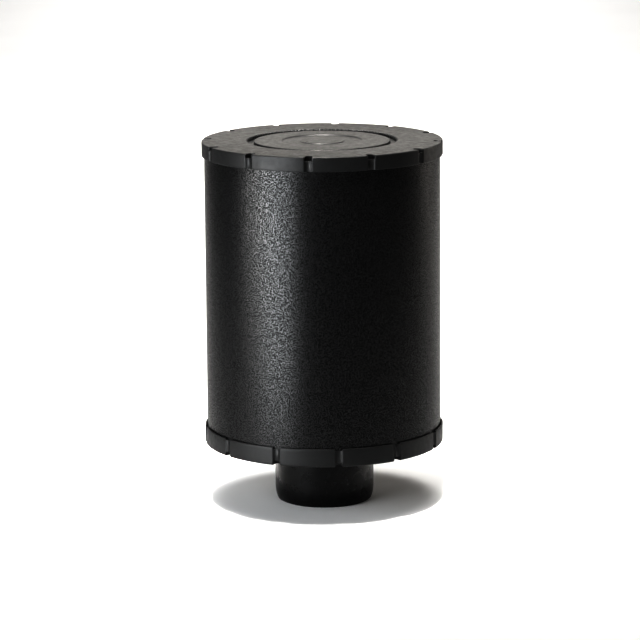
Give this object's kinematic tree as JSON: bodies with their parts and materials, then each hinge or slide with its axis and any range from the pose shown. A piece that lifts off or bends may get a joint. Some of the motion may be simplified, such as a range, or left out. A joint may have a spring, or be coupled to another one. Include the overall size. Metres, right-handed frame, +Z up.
{
  "type": "pneumatic intake filter muffler",
  "caption": "One-piece canister that filters and quiets the air drawn in by a compressor or blower, with slotted end caps, a grained shell and a rubber clamp-on outlet collar",
  "frame": {"origin": "centre of the outlet collar's mouth, which is the lowest face", "axes": "+Z runs up the canister's axis from the outlet collar to the closed upper cap; -Y is the side that faces the viewer in the picture; +X is to the viewer's right"},
  "size_m": [0.216, 0.216, 0.3294],
  "materials": {
    "cap_urethane": "moulded urethane, satin, fine mould skin",
    "grained_shell": "black plastic-faced sheet with an embossed leather-like grain",
    "plain_sheet": "plain sheet, satin",
    "adhesive": "cured sealant",
    "lining_felt": "needled polyester felt",
    "collar_rubber": "smooth black rubber, slight gloss",
    "plated_steel": "zinc-plated sheet",
    "filter_paper": "resin-treated pleated filter paper",
    "hot_melt": "hot-melt adhesive, waxy"
  },
  "bodies": {
    "root": {"upper_end_cap": "cap_urethane", "lower_end_cap": "cap_urethane", "outer_shell": "grained_shell", "shell_seam_strip": "plain_sheet", "upper_shell_seal": "adhesive", "lower_shell_seal": "adhesive", "acoustic_lining": "lining_felt", "outlet_collar": "collar_rubber", "outlet_ferrule": "plated_steel", "perforated_core": "plated_steel", "core_end_disc": "plated_steel", "outer_liner": "plated_steel", "pleated_media": "filter_paper", "media_seam_clip": "plated_steel", "lower_pleat_bead": "hot_melt", "middle_pleat_bead": "hot_melt", "upper_pleat_bead": "hot_melt"}
  },
  "joints": []
}
